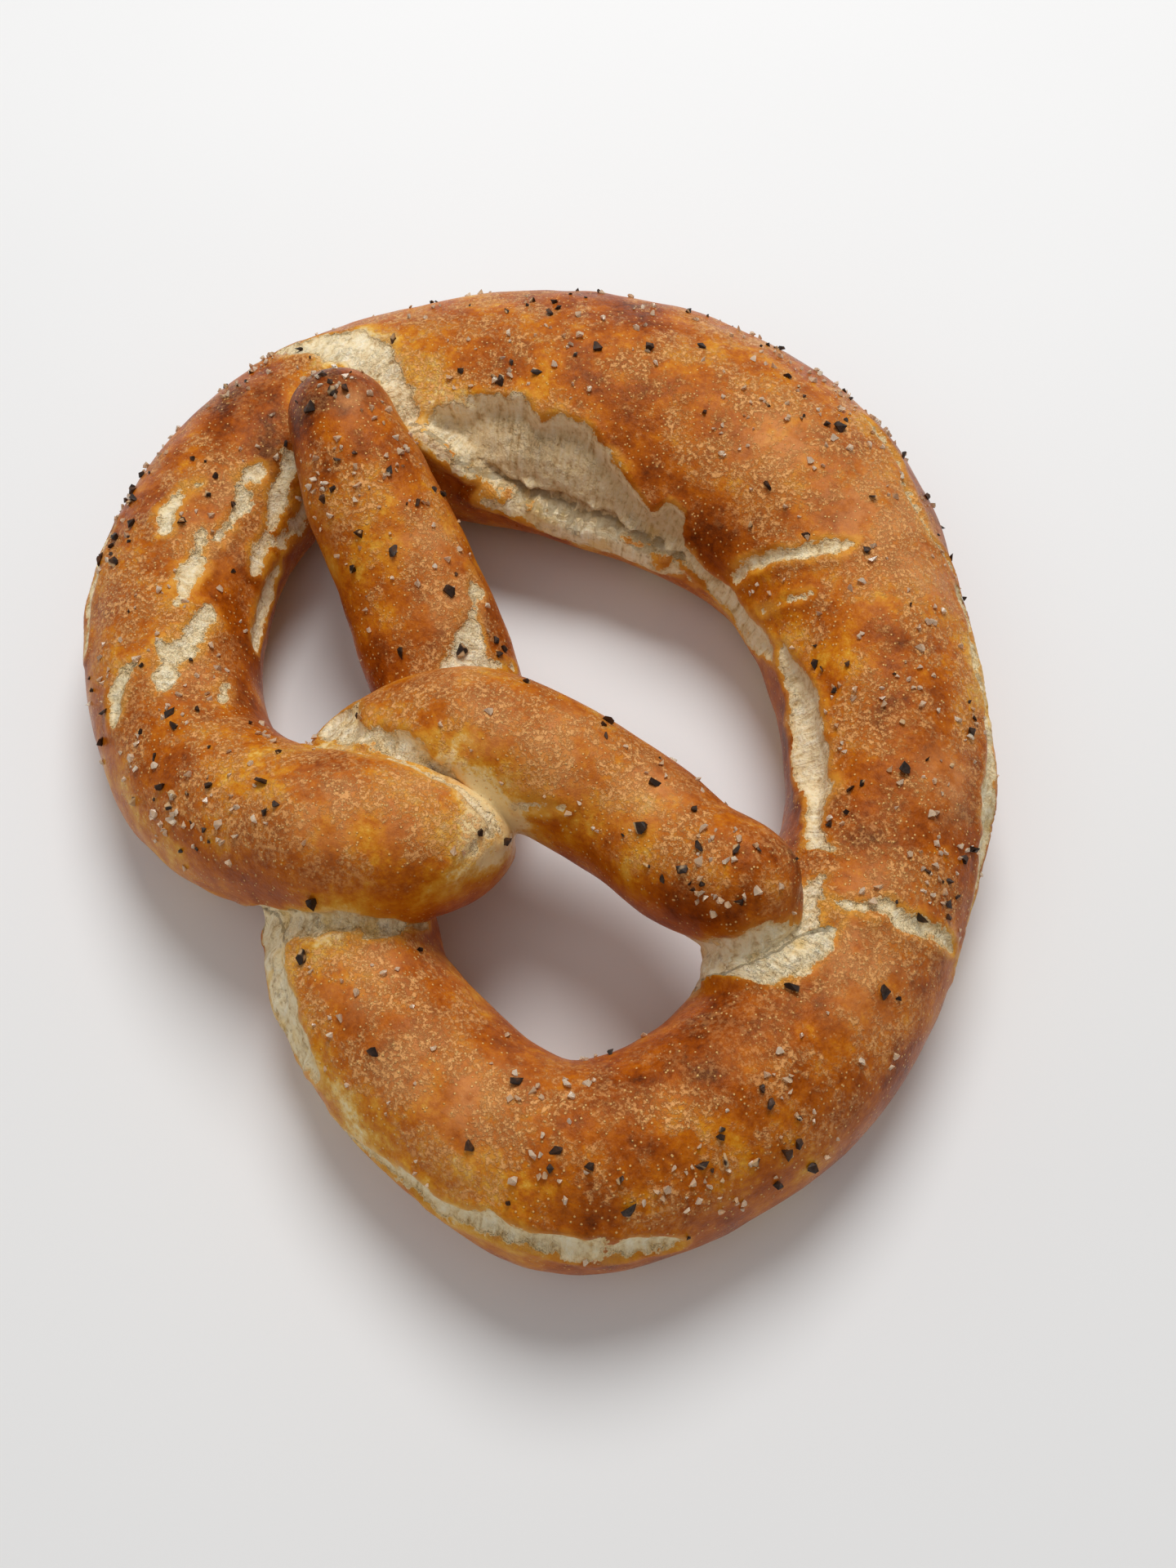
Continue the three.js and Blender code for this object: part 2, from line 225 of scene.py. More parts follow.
# Zones where a soft peach sheen is painted into the crust's colour, a painted highlight: (rope, place, turn,
# radius).
PAINTED_SHEEN_SPOTS = [
    (REST, 15.2, 106, 11), (REST, 15.7, 114, 8), (REST, 14.2, 86, 8), (REST, 7.6, 66, 4), (REST, 6.9, 66, 5),
    (REST, 5, 74, 5), (ARM, 3, 112, 5), (ARM, 3.9, 110, 5), (REST, 31.1, 132, 5), (REST, 32.2, 80, 7),
    (REST, 31.5, 78, 5), (REST, 33.3, 92, 6), (REST, 1, 82, 6), (REST, 1.7, 96, 6), (REST, 25.8, 86, 6),
    (REST, 24.7, 98, 6), (REST, 24, 92, 7), (REST, 19.3, 102, 8), (REST, 18.7, 96, 5), (REST, 17.6, 116, 5),
    (ARM, 1.1, 102, 3),
]


def catmull_rom(points, place, power):
    """Points on a Catmull-Rom curve through points: power 0.5 spaces the knots centripetally, 0 evenly."""
    points = np.vstack([2 * points[0] - points[1], points, 2 * points[-1] - points[-2]])
    start = np.clip(np.floor(place).astype(int), 0, len(points) - 4)
    w = (np.asarray(place, float) - start)[:, None]
    p0, p1, p2, p3 = (points[start + k] for k in range(4))
    gap = [np.linalg.norm(b - a, axis=1, keepdims=True) ** power for a, b in ((p0, p1), (p1, p2), (p2, p3))]
    t1 = ((p1 - p0) / gap[0] - (p2 - p0) / (gap[0] + gap[1]) + (p2 - p1) / gap[1]) * gap[1]
    t2 = ((p2 - p1) / gap[1] - (p3 - p1) / (gap[1] + gap[2]) + (p3 - p2) / gap[2]) * gap[1]
    return p1 + t1 * w + (3 * (p2 - p1) - 2 * t1 - t2) * w**2 + (2 * (p1 - p2) + t1 + t2) * w**3


def unit(vectors):
    return vectors / np.linalg.norm(vectors, axis=-1, keepdims=True)


class Rope:
    """One run of rope: its centre line and sections, in millimetres."""

    def __init__(self, places):
        self.places = np.array(places, float)
        self.last = len(places) - 1

    def frames(self, place):
        """Middle, right, up, along and half sizes at each place."""
        small = 1e-3  # a short way along the rope, for its direction
        middle = catmull_rom(self.places[:, :3], place, 0.5)
        along = unit(catmull_rom(self.places[:, :3], np.minimum(place + small, self.last), 0.5)
                     - catmull_rom(self.places[:, :3], np.maximum(place - small, 0), 0.5))
        right = unit(np.stack([along[:, 1], -along[:, 0], np.zeros(len(along))], 1))
        return middle, right, np.cross(right, along), along, catmull_rom(self.places[:, 3:], place, 0)

    def crust_at(self, place, turn):
        """Points of the smooth crust, for places and turns in degrees."""
        middle, right, up, _, half = self.frames(np.asarray(place, float))
        turn = np.radians(turn)
        across = half[:, 0] * np.cos(turn)
        lift = half[:, 1] * np.sin(turn)
        return middle + right * across[:, None] + up * lift[:, None]

    def even_places(self, step):
        """Places spaced evenly along the rope, and the length of rope up to each."""
        fine = np.linspace(0, self.last, LENGTH_SAMPLES)
        line = catmull_rom(self.places[:, :3], fine, 0.5)
        length = np.concatenate([[0], np.cumsum(np.linalg.norm(np.diff(line, axis=0), axis=1))])
        wanted = np.linspace(0, length[-1], int(length[-1] / step) + 1)
        return np.interp(wanted, length, fine), wanted

    def skin(self):
        """Vertices and quads of the closed sweep, with domes on both ends and a base flattened at z = 0."""
        place, length = self.even_places(SECTION_STEP)
        from_end = np.clip(np.minimum(length, length[-1] - length) / END_ROUNDING, SMALLEST_RIM, 1)
        middle, right, up, _, half = self.frames(place)
        half = half * np.sqrt(1 - (1 - from_end) ** 2)[:, None]
        turn = np.linspace(0, 2 * math.pi, SECTION_SIDES, endpoint=False)
        rims = (middle[:, None] + right[:, None] * (half[:, :1] * np.cos(turn))[..., None]
                + up[:, None] * (half[:, 1:] * np.sin(turn))[..., None])
        points = rims.reshape(-1, 3)
        points[:, 2] = np.maximum(points[:, 2], 0)
        faces = []
        for rim in range(len(place) - 1):
            a, b = rim * SECTION_SIDES, (rim + 1) * SECTION_SIDES
            for i in range(SECTION_SIDES):
                j = (i + 1) % SECTION_SIDES
                faces.append((a + i, b + i, b + j, a + j))
        last = (len(place) - 1) * SECTION_SIDES
        faces.append(tuple(range(SECTION_SIDES)))
        faces.append(tuple(last + i for i in reversed(range(SECTION_SIDES))))
        return points, faces


ROPES = [Rope(FIRST_ARM), Rope(REST_OF_ROPE), Rope(KNOB_WEB)]

# ---------------------------------------------------------------- mesh helpers
VOXEL = 0.75  # millimetres


def new_object(name, mesh):
    made = bpy.data.objects.new(name, mesh)
    bpy.context.scene.collection.objects.link(made)
    return made


def mesh_from(name, points, faces):
    mesh = bpy.data.meshes.new(name)
    mesh.from_pydata([tuple(p) for p in points], [], [tuple(f) for f in faces])
    mesh.update()
    return mesh


def remeshed(obj, voxel):
    """The object's mesh after a voxel remesh, and the object gone."""
    modifier = obj.modifiers.new("voxels", "REMESH")
    modifier.mode = "VOXEL"
    modifier.voxel_size = voxel
    modifier.adaptivity = 0
    graph = bpy.context.evaluated_depsgraph_get()
    mesh = bpy.data.meshes.new_from_object(obj.evaluated_get(graph))
    bpy.data.objects.remove(obj)
    return mesh


def read_points(mesh):
    flat = np.empty(len(mesh.vertices) * 3, np.float32)
    mesh.vertices.foreach_get("co", flat)
    return flat.reshape(-1, 3).astype(float)


def read_normals(mesh):
    flat = np.empty(len(mesh.vertices) * 3, np.float32)
    mesh.vertices.foreach_get("normal", flat)
    return flat.reshape(-1, 3).astype(float)


def write_points(mesh, points):
    mesh.vertices.foreach_set("co", points.astype(np.float32).ravel())
    mesh.update()


def edges_of(mesh):
    flat = np.empty(len(mesh.edges) * 2, np.int32)
    mesh.edges.foreach_get("vertices", flat)
    return flat.reshape(-1, 2)


def neighbour_mean(edges, values):
    """The mean of each vertex's neighbours, for an array of values per vertex."""
    count = np.bincount(edges.ravel(), minlength=len(values))
    total = np.empty_like(values)
    for k in range(values.shape[1]):
        column = values[:, k]
        total[:, k] = (np.bincount(edges[:, 0], column[edges[:, 1]], len(values))
                       + np.bincount(edges[:, 1], column[edges[:, 0]], len(values)))
    return total / np.maximum(count, 1)[:, None]


def smooth(edges, values, rounds, amount=0.5):
    """Averages values with their neighbours; amount may differ from vertex to vertex."""
    for _ in range(rounds):
        values = values + (neighbour_mean(edges, values) - values) * amount
    return values


def step(low, high, value):
    """From 0 at low to 1 at high, smoothly, and held beyond them. low may be the greater."""
    w = np.clip((value - low) / (high - low), 0, 1)
    return w * w * (3 - 2 * w)


HASH_PRIMES = (73856093, 19349663, 83492791)
HASH_STIR = 1274126177
SEED_SHIFT = 13.7  # how far apart the noises of two seeds are taken


def noise(points, size, seed):
    """Smooth value noise from -1 to 1 with bumps of about that size, in the units of points."""
    spot = points / size + seed * SEED_SHIFT
    cell = np.floor(spot).astype(np.int64)
    w = spot - cell
    w = w**3 * (w * (w * 6 - 15) + 10)
    total = np.zeros(len(points))
    for corner in itertools.product((0, 1), repeat=3):
        at = (cell + corner).astype(np.uint64)
        mixed = np.bitwise_xor.reduce(at * np.array(HASH_PRIMES, np.uint64), axis=1)
        mixed = (mixed ^ (mixed >> np.uint64(13))) * np.uint64(HASH_STIR)
        # sixteen bits of the hash, as a height from -1 to 1
        height = ((mixed >> np.uint64(8)) & np.uint64(0xFFFF)).astype(float) / 0x7FFF - 1
        weight = np.prod(np.where(corner, w, 1 - w), axis=1)
        total += height * weight
    return total


def layered(points, layers, base=0.0):
    """base plus several noises, each given as (amount, size, seed)."""
    total = base
    for amount, size, seed in layers:
        total = total + amount * noise(points, size, seed)
    return total


# ---------------------------------------------------------------- where each point lies on the rope
NEIGHBOUR_REACH = 45  # millimetres of the same rope that don't count as another strand
SAMPLE_STEP = 2  # millimetres of rope between the samples that points are measured from
STROKE_STEP = 0.7  # millimetres between the points of a split or a roll
FIELD_REACH = 9  # millimetres up to which distances from a tear, a split or the next strand count
AT_ONCE = 4000  # points worked out together


def rope_samples():
    """Samples along every rope: its number, place, length, places to a millimetre, and the frame there."""
    samples = []
    for number, rope in enumerate(ROPES):
        place, length = rope.even_places(SAMPLE_STEP)
        pace = np.gradient(place, length)
        samples.append((np.full(len(place), number), place, length, pace, *rope.frames(place)))
    return [np.concatenate(column) for column in zip(*samples)]


class Seats:
    """Where points lie: rope, place and turn, and how far each is from the next strand, in millimetres."""

    def __init__(self, points):
        which, place, length, pace, middle, right, up, along, half = rope_samples()
        mean = half.mean(1)
        nearest = np.empty(len(points), int)
        self.gap = np.empty(len(points))
        for start in range(0, len(points), AT_ONCE):
            part = slice(start, start + AT_ONCE)
            away = points[part][:, None] - middle[None]
            across = np.einsum("psk,sk->ps", away, right) / half[:, 0]
            lift = np.einsum("psk,sk->ps", away, up) / half[:, 1]
            ahead = np.einsum("psk,sk->ps", away, along) / mean
            radius = np.sqrt(across**2 + lift**2 + ahead**2)
            own = radius.argmin(1)
            nearest[part] = own
            same = (which[None] == which[own][:, None]) & (
                np.abs(length[None] - length[own][:, None]) < NEIGHBOUR_REACH)
            self.gap[part] = np.where(same, np.inf, (radius - 1) * mean[None]).min(1)
        away = points - middle[nearest]
        across = (away * right[nearest]).sum(1) / half[nearest, 0]
        lift = (away * up[nearest]).sum(1) / half[nearest, 1]
        self.which = which[nearest]
        self.length = length[nearest] + (away * along[nearest]).sum(1)
        self.place = place[nearest] + (self.length - length[nearest]) * pace[nearest]
        self.turn = np.degrees(np.arctan2(lift, across))
        self.degree = np.radians(mean[nearest])  # millimetres of crust for a degree of turn
        self.pace = pace[nearest]

    def tear_field(self, rope, rows):
        """Signed distance in millimetres from the edge of a tear, negative inside it."""
        rows = np.array(rows, float)
        low, high = (np.interp(self.place, rows[:, 0], rows[:, k]) for k in (1, 2))
        past = np.abs(self.place - np.clip(self.place, rows[0, 0], rows[-1, 0])) / self.pace
        across = (np.abs(self.turn - (low + high) / 2) - (high - low) / 2) * self.degree
        field = np.where(past > 0, np.hypot(np.maximum(across, 0), past), across)
        return np.where(self.which == rope, np.minimum(field, FIELD_REACH), FIELD_REACH)


def stroke_points(rope, line):
    """Points, half widths and lengths along a line of (place, turn, half width) on the crust."""
    line = np.array(line, float)
    knots = ROPES[rope].crust_at(line[:, 0], line[:, 1])
    length = np.concatenate([[0], np.cumsum(np.linalg.norm(np.diff(knots, axis=0), axis=1))])
    along = np.linspace(0, length[-1], max(int(length[-1] / STROKE_STEP), 2))
    place, turn, width = (np.interp(along, length, line[:, k]) for k in range(3))
    return ROPES[rope].crust_at(place, turn), width, along


def stroke_field(points, rope, line):
    """Signed distance in millimetres from the edge of a stroke (negative inside), and the length along it."""
    path, width, along = stroke_points(rope, line)
    field = np.full(len(points), float(FIELD_REACH))
    length = np.zeros(len(points))
    margin = width.max() + FIELD_REACH
    near = np.where(((points > path.min(0) - margin) & (points < path.max(0) + margin)).all(1))[0]
    for start in range(0, len(near), AT_ONCE):
        part = near[start:start + AT_ONCE]
        far = np.linalg.norm(points[part][:, None] - path[None], axis=2) - width[None]
        best = far.argmin(1)
        field[part] = np.minimum(far[np.arange(len(part)), best], FIELD_REACH)
        length[part] = along[best]
    return field, length


def nearness(points, spots):
    """How near each point is to any of the spots, from 0 to 1."""
    near = np.zeros(len(points))
    for rope, place, turn, radius in spots:
        away = ((points - ROPES[rope].crust_at([place], [turn])) ** 2).sum(1)
        near = np.maximum(near, np.exp(-away / radius**2))
    return near


# ---------------------------------------------------------------- the dough
def dough_blank():
    """All the runs of rope merged into one body at fine resolution, in millimetres."""
    points, faces = [], []
    for rope in ROPES:
        rope_points, rope_faces = rope.skin()
        faces += [tuple(i + len(points) for i in face) for face in rope_faces]
        points += list(rope_points)
    return remeshed(new_object("blank", mesh_from("blank", points, faces)), VOXEL)


# Noises are (amount, size, seed). A pair is where a change begins and where it is complete, in millimetres:
# distances from the edge of a tear count as negative inside it.
SHRINKAGE = 0.42  # taken off by smoothing, and given back
BULGES = [(0.5, 26, 1), (0.34, 11, 2), (0.2, 5, 3)]
RAGGED = [(0.9, 7, 21), (1.1, 3.6, 22), (0.6, 2, 23)]
CRUMB_TUFTS = [(0.16, 2.2, 31), (0.14, 1.3, 32)]
PORE_TUFTS = [(0.5, 2.6, 33)]
BASE_FADE = (0.4, 4)  # heights over which the relief grows from the flat base
CREASE_REACH = 3
BLANK_ROUNDS = 4  # rounds of smoothing, for the voxels and then for the creases between strands
CREASE_ROUNDS = 14
LAST_SOFTENING = 0.35
UP_ROUNDS = 6
TEAR_WALL = (0.4, -3)
SPLIT_WALL = (0.5, -1.5)
ROLL_SIDE = (1.2, -1.6)
PORED_EDGE = (1, -1)
CRUMB_EDGE = (0.3, -1)
DEEP_CRUMB_SHADE = (1, 4)
TEAR_RAGGEDNESS = 0.8
SPLIT_RAGGEDNESS = 0.3  # of the narrowest split, and what width adds to it
WIDTH_RAGGEDNESS = 0.75
WIDE_SPLIT = 2.5  # half width from which a split's edge is as ragged as it gets
LIP = 0.4  # height of the curled edge of the crust round a tear
LIP_AWAY = 0.9
WEB_CRUMB = -2.5  # the web is crumb all over, this far inside the edge of a tear
WEB_PORES = 0.8


def rounded_creases(mesh):
    """The points of the blank with the creases between its strands rounded off, and where they lie."""
    edges = edges_of(mesh)
    points = smooth(edges, read_points(mesh), BLANK_ROUNDS)
    seats = Seats(points)
    crease = np.exp(-((np.clip(seats.gap, 0, FIELD_REACH) / CREASE_REACH) ** 2))
    return smooth(edges, points, CREASE_ROUNDS, 0.5 * crease[:, None]), seats


def torn(points, seats):
    """Per point: distance from the nearest tear, depth, length along its pull, and how pored it is."""
    ragged = layered(points, RAGGED)
    tear = np.full(len(points), float(FIELD_REACH))
    depth = np.zeros(len(points))
    fibre = seats.length.copy()
    pores = np.zeros(len(points))
    for name, (rope, deep, rows) in TEARS.items():
        field = seats.tear_field(rope, rows) + TEAR_RAGGEDNESS * ragged
        depth = np.maximum(depth, deep * step(*TEAR_WALL, field))
        tear = np.minimum(tear, field)
        pores = np.maximum(pores, (name in PORED) * step(*PORED_EDGE, field))
    for name, (rope, deep, line) in SPLITS.items():
        field, along = stroke_field(points, rope, line)
        breadth = min(max(width for _, _, width in line), WIDE_SPLIT) / WIDE_SPLIT
        field = field + ragged * (SPLIT_RAGGEDNESS + WIDTH_RAGGEDNESS * breadth)
        depth = np.maximum(depth, deep * step(*SPLIT_WALL, field))
        fibre = np.where((field < tear) & (tear > 0), along, fibre)
        tear = np.minimum(tear, field)
        pores = np.maximum(pores, (name in PORED) * step(*PORED_EDGE, field))
    tear = np.where(seats.which == WEB, WEB_CRUMB + ragged, tear)
    pores = np.where(seats.which == WEB, WEB_PORES, pores)
    return tear, depth, fibre, pores


def rolled(points):
    """How far the rolls of dough stand out at each point."""
    roll = np.zeros(len(points))
    for rope, height, line in ROLLS:
        field, _ = stroke_field(points, rope, line)
        roll = np.maximum(roll, height * step(*ROLL_SIDE, field))
    return roll


def shape_dough(mesh):
    """Gives the blank its relief. Returns what the crust material needs, per vertex."""
    edges = edges_of(mesh)
    points, seats = rounded_creases(mesh)
    write_points(mesh, points)
    normals = read_normals(mesh)
    above = step(*BASE_FADE, points[:, 2])
    tear, depth, fibre, pores = torn(points, seats)
    lip = LIP * np.exp(-((tear - LIP_AWAY) ** 2))
    crumb = step(*CRUMB_EDGE, tear)
    tufts = crumb * (layered(points, CRUMB_TUFTS) + pores * layered(points, PORE_TUFTS))
    relief = layered(points, BULGES, SHRINKAGE) + lip + rolled(points) + tufts - depth
    points = points + normals * (relief * above)[:, None]
    points[:, 2] = np.maximum(points[:, 2], 0)
    write_points(mesh, smooth(edges, points, 1, LAST_SOFTENING))
    up = smooth(edges, read_normals(mesh)[:, 2:], UP_ROUNDS)[:, 0]
    return {"tear": tear, "fibre": fibre, "pores": pores, "up": up, "deep": step(*DEEP_CRUMB_SHADE, depth),
            "bake": bake_of(points, seats, tear), "painted_sheen": nearness(points, PAINTED_SHEEN_SPOTS)}


BAKE = 0.57
BAKE_PATCHES = [(0.13, 24, 41), (0.14, 9, 42)]


def bake_of(points, seats, tear):
    """How dark the crust is baked, from 0 for pale to 1 for very dark."""
    bake = layered(points, BAKE_PATCHES, BAKE)
    for rope, place, turn, radius, amount in TONES:
        spot = ROPES[rope].crust_at([place], [turn])
        bake += amount * np.exp(-(((points - spot) ** 2).sum(1) / radius**2))
    bake -= 0.34 * step(9, 1.5, points[:, 2])  # paler towards the tray
    bake -= 0.22 * step(3, 0.4, seats.gap)  # paler where strands touch
    bake -= 0.14 * step(2.2, 0.2, tear)  # golden along the splits
    return np.clip(bake, 0, 1)


def add_attribute(mesh, name, values):
    attribute = mesh.attributes.new(name, "FLOAT", "POINT")
    attribute.data.foreach_set("value", np.ascontiguousarray(values, np.float32))


def make_dough():
    mesh = dough_blank()
    fields = shape_dough(mesh)
    for name, values in fields.items():
        add_attribute(mesh, name, values)
    mesh.transform(Matrix.Scale(MM, 4))
    mesh.polygons.foreach_set("use_smooth", np.ones(len(mesh.polygons), bool))
    mesh.name = "dough_baked"
    dough = new_object("dough_baked", mesh)
    mesh.materials.append(crust_material())
    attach(dough, "root")
    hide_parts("dough")
    return dough


# ---------------------------------------------------------------- materials
def colour(red, green, blue):
    """A display colour, 0 to 255, as the linear colour that shaders use: this is the sRGB curve."""
    shades = (red / 255, green / 255, blue / 255)
    linear = [c / 12.92 if c <= 0.04045 else ((c + 0.055) / 1.055) ** 2.4 for c in shades]
    return (*linear, 1)


# Crust from unbaked to nearly burnt. A ramp lists its two ends first.
CRUST_TONES = [
    (0.0, colour(244, 218, 162)), (1.0, colour(92, 36, 8)), (0.09, colour(236, 194, 110)),
    (0.2, colour(222, 158, 48)), (0.35, colour(206, 124, 16)), (0.5, colour(186, 96, 6)),
    (0.68, colour(160, 74, 4)), (0.84, colour(132, 56, 4)),
]
PAINTED_SHEEN_PEACH = colour(220, 146, 88)
SAND_AND_SHEEN = colour(236, 172, 106)
GOLD = colour(226, 160, 62)
BLISTER = colour(246, 196, 124)
CRUMB_TONES = [(0.32, colour(188, 150, 98)), (0.66, colour(255, 242, 212)), (0.48, colour(244, 222, 178))]
PORE_SHADE = colour(140, 102, 60)
EGG_YELLOW = colour(240, 200, 118)
DEEP_SHADE = colour(218, 204, 186)
TOASTED = colour(232, 184, 104)
PEPPER_TONES = [(0.3, colour(26, 16, 10)), (0.75, colour(96, 60, 34)), (0.5, colour(50, 32, 20))]
PEPPER_HEART = colour(196, 160, 116)
SALT_TONES = [(0.35, colour(236, 196, 150)), (0.65, colour(254, 238, 212))]
FLOOR_TONES = [(0.3, (0.86, 0.86, 0.86, 1)), (0.7, (0.88, 0.88, 0.88, 1))]
STREAKS = 1.1  # fibres of crumb to a millimetre


class Nodes:
    """A short way to write a material's node tree."""

    def __init__(self, name):
        self.material = bpy.data.materials.new(name)
        self.material.use_nodes = True
        self.tree = self.material.node_tree
        self.shader = self.tree.nodes["Principled BSDF"]
        self.place = self.add("ShaderNodeTexCoord").outputs["Object"]

    def add(self, kind, **settings):
        node = self.tree.nodes.new(kind)
        for name, value in settings.items():
            setattr(node, name, value)
        return node

    def plug(self, socket, value):
        if isinstance(value, bpy.types.NodeSocket):
            self.tree.links.new(value, socket)
        else:
            socket.default_value = value

    def attribute(self, name):
        return self.add("ShaderNodeAttribute", attribute_name=name).outputs["Fac"]

    def math(self, operation, a, b=0.0, clamp=False):
        node = self.add("ShaderNodeMath", operation=operation, use_clamp=clamp)
        self.plug(node.inputs[0], a)
        self.plug(node.inputs[1], b)
        return node.outputs[0]

    def span(self, value, low, high, to_low=0.0, to_high=1.0):
        """value mapped smoothly from low..high to to_low..to_high, and held at the ends."""
        node = self.add("ShaderNodeMapRange", interpolation_type="SMOOTHSTEP")
        for socket, given in zip(node.inputs, (value, low, high, to_low, to_high)):
            self.plug(socket, given)
        return node.outputs[0]

    def noise(self, size, detail=2.0, roughness=0.5, place=None):
        """Noise from 0 to 1 with features of about that size, in the units of place."""
        node = self.add("ShaderNodeTexNoise")
        self.plug(node.inputs["Vector"], place or self.place)
        node.inputs["Scale"].default_value = 1 / size
        node.inputs["Detail"].default_value = detail
        node.inputs["Roughness"].default_value = roughness
        return node.outputs["Fac"]

    def wobble(self, size, detail, roughness, amount):
        """Noise about 0, scaled by amount."""
        return self.math("MULTIPLY", self.math("SUBTRACT", self.noise(size, detail, roughness), 0.5), amount)

    def dots(self, size):
        """Distance from the nearest of a scatter of points about size metres apart, in units of size."""
        node = self.add("ShaderNodeTexVoronoi")
        self.plug(node.inputs["Vector"], self.place)
        node.inputs["Scale"].default_value = 1 / size
        return node.outputs["Distance"]

    def mix(self, amount, a, b, blend="MIX"):
        node = self.add("ShaderNodeMix", data_type="RGBA", blend_type=blend)
        self.plug(node.inputs["Factor"], amount)
        self.plug(node.inputs["A"], a)
        self.plug(node.inputs["B"], b)
        return node.outputs["Result"]

    def ramp(self, value, *stops):
        node = self.add("ShaderNodeValToRGB")
        bands = node.color_ramp.elements
        for band, (at, shade) in zip(bands, stops):
            band.position, band.color = at, shade
        for at, shade in stops[2:]:
            bands.new(at).color = shade
        self.plug(node.inputs[0], value)
        return node.outputs["Color"]

    def bump(self, height, distance, strength=1.0, before=None):
        node = self.add("ShaderNodeBump")
        node.inputs["Distance"].default_value = distance
        node.inputs["Strength"].default_value = strength
        self.plug(node.inputs["Height"], height)
        if before is not None:
            self.plug(node.inputs["Normal"], before)
        return node.outputs["Normal"]


def sand_and_sheen(n, bake, up, painted_sheen):
    """How much sandy cream lies on each spot, part real sandy crust and part painted sheen: in patches on the
    faces that look up, less where baked dark.
    """
    grain = n.span(n.noise(0.75 * MM, 4, 0.75), 0.44, 0.58, 0.12, 1)
    patch = n.math("ADD", n.noise(9 * MM, 6, 0.72), n.math("MULTIPLY", painted_sheen, 0.08))
    patch = n.span(patch, 0.46, 0.54, 0.08, 1)
    amount = n.math("MULTIPLY", n.math("MULTIPLY", grain, patch), n.span(up, 0.35, 0.85))
    return n.math("MULTIPLY", amount, n.span(bake, 0.8, 0.55, 0.25, 1))


def blisters(n, rim):
    """Single pin blisters, in patches away from the splits."""
    speck = n.span(n.dots(0.95 * MM), 0.24, 0.12)
    patch = n.span(n.noise(14 * MM, 2), 0.34, 0.5)
    return n.math("MULTIPLY", n.math("MULTIPLY", speck, patch), n.span(rim, 0.9, 0.2))


def crust_colour(n, rim):
    """Crust baked darker and lighter in patches. Returns its colour, and its relief from 0 up."""
    bake, up = n.attribute("bake"), n.attribute("up")
    mottle = n.wobble(7 * MM, 5, 0.64, 1.35)
    freckle = n.wobble(1.4 * MM, 4, 0.72, n.span(up, 0.1, 0.6, 0.25, 0.75))
    crust = n.ramp(n.math("ADD", n.math("ADD", bake, mottle), freckle, clamp=True), *CRUST_TONES)
    # painted sheen: peach patches stand for the soft highlight on the glazed crust
    painted_sheen = n.math("MULTIPLY", n.attribute("painted_sheen"), n.span(n.noise(4 * MM, 4, 0.6), 0.35, 0.6, 0.2, 0.7))
    crust = n.mix(painted_sheen, crust, PAINTED_SHEEN_PEACH)
    # sandy cream: part real crust texture, part painted sheen on the faces that look up
    sand_and_sheen_amount = sand_and_sheen(n, bake, up, painted_sheen)
    crust = n.mix(n.math("MULTIPLY", sand_and_sheen_amount, 0.85), crust, SAND_AND_SHEEN)
    # gold along the splits, here and there
    golden = n.math("MULTIPLY", rim, n.span(n.noise(6 * MM, 3), 0.42, 0.58, 0.1, 0.65))
    crust = n.mix(golden, crust, GOLD)
    blister = blisters(n, rim)
    crust = n.mix(n.math("MULTIPLY", blister, 0.8), crust, BLISTER)
    return crust, n.math("ADD", blister, sand_and_sheen_amount)


def crumb_colour(n, tear, edge):
    """Cream crumb, streaked along the pull. Returns its colour, its fibres and its pores."""
    pored = n.attribute("pores")
    pull = n.add("ShaderNodeCombineXYZ")
    n.plug(pull.inputs[0], n.attribute("fibre"))
    n.plug(pull.inputs[1], n.math("MULTIPLY", tear, 0.2))
    streak = n.noise(1 / STREAKS, 4, place=pull.outputs[0])
    fibres = n.math("ADD", streak, n.noise(1.2 * MM, 4, 0.6))
    crumb = n.ramp(n.math("MULTIPLY", fibres, 0.5), *CRUMB_TONES)
    pore = n.math("MULTIPLY", n.span(n.noise(2.1 * MM, 5, 0.68), 0.45, 0.34), pored)
    # painted shade: the crumb's pores are darkened as if shaded inside
    crumb = n.mix(n.math("MULTIPLY", pore, 0.45), crumb, PORE_SHADE)
    yellow = n.math("MULTIPLY", n.span(n.noise(6 * MM, 3), 0.52, 0.66), pored)
    crumb = n.mix(n.math("MULTIPLY", yellow, 0.6), crumb, EGG_YELLOW)
    # painted shade: crumb deep in a tear is darkened as if in shadow
    crumb = n.mix(n.math("MULTIPLY", n.attribute("deep"), 0.75), crumb, DEEP_SHADE, "MULTIPLY")
    crumb = n.mix(n.span(edge, -1.1, 0.0, 0.0, 0.45), crumb, TOASTED)
    return crumb, fibres, pore


def dough_relief(n, crumb, edge, raised, fibres, pore):
    """Bumps from the fine leather of the skin to the step at the torn edge."""
    leather = n.bump(n.noise(0.8 * MM, 4, 0.65), 0.2 * MM, 0.8)
    blistered = n.bump(raised, 0.2 * MM, 0.8, leather)
    streaked = n.bump(n.math("MULTIPLY", fibres, crumb), 0.6 * MM, 0.8, blistered)
    pored = n.bump(n.math("MULTIPLY", n.math("MULTIPLY", pore, crumb), -1.0), 0.4 * MM, 0.5, streaked)
    return n.bump(n.span(edge, -0.5, 0.2), 0.4 * MM, 0.8, pored)


